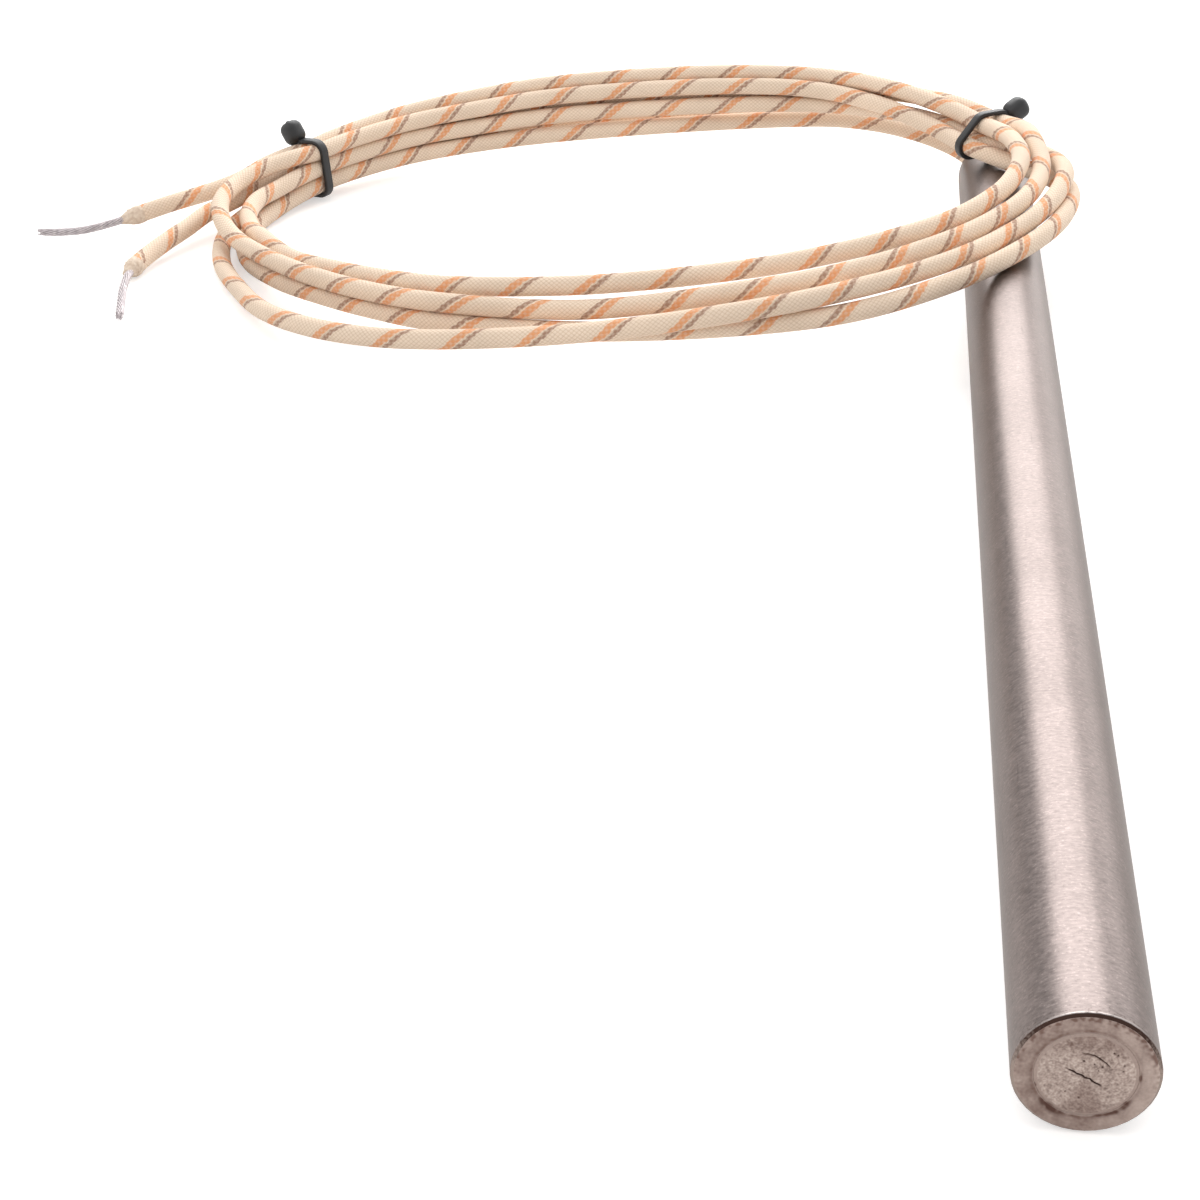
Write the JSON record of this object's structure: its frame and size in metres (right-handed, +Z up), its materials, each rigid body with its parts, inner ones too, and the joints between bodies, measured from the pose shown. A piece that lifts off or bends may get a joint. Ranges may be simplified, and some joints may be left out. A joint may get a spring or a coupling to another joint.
{
  "type": "cartridge heater",
  "caption": "Round steel-sheathed electric heating rod with a welded flat end, lying with its braided leads wound into a coil and held by cable ties.",
  "frame": {"origin": "under the middle of the heater, on the surface it lies on", "axes": "+Y along the heater towards its lead end, +Z up, the coil of leads towards -X"},
  "size_m": [0.1757, 0.2864, 0.0277],
  "materials": {
    "sheath": "stainless tube, ground round its outside",
    "closed_end": "stainless, turned and welded, slightly tinted by heat",
    "ceramic": "fired magnesia, matt",
    "magnesia": "packed powder, matt",
    "nickel": "plain nickel",
    "heating_alloy": "resistance wire, oxidised",
    "wire": "plated stranded copper",
    "cement": "cast cement, matt",
    "braid": "glass fibre braid with coloured tracers",
    "nylon": "black nylon"
  },
  "bodies": {
    "root": {"sheath": "sheath", "end_disc": "closed_end", "end_weld": "closed_end", "end_spacer": "ceramic", "core_1": "ceramic", "core_2": "ceramic", "core_3": "ceramic", "core_4": "ceramic", "core_5": "ceramic", "core_6": "ceramic", "crimp_insulator": "ceramic", "lead_bushing": "ceramic", "powder_fill": "magnesia", "feed_pin": "nickel", "return_pin": "nickel", "crimp_a": "nickel", "crimp_b": "nickel", "winding": "heating_alloy", "conductor_a": "wire", "conductor_b": "wire", "bare_end_a": "wire", "bare_end_b": "wire", "end_seal": "cement", "lead_exit_a": "braid", "lead_exit_b": "braid", "lead_coil": "braid", "lead_tail_a": "braid", "lead_tail_b": "braid", "tie_right": "nylon", "tie_left": "nylon"}
  },
  "joints": []
}
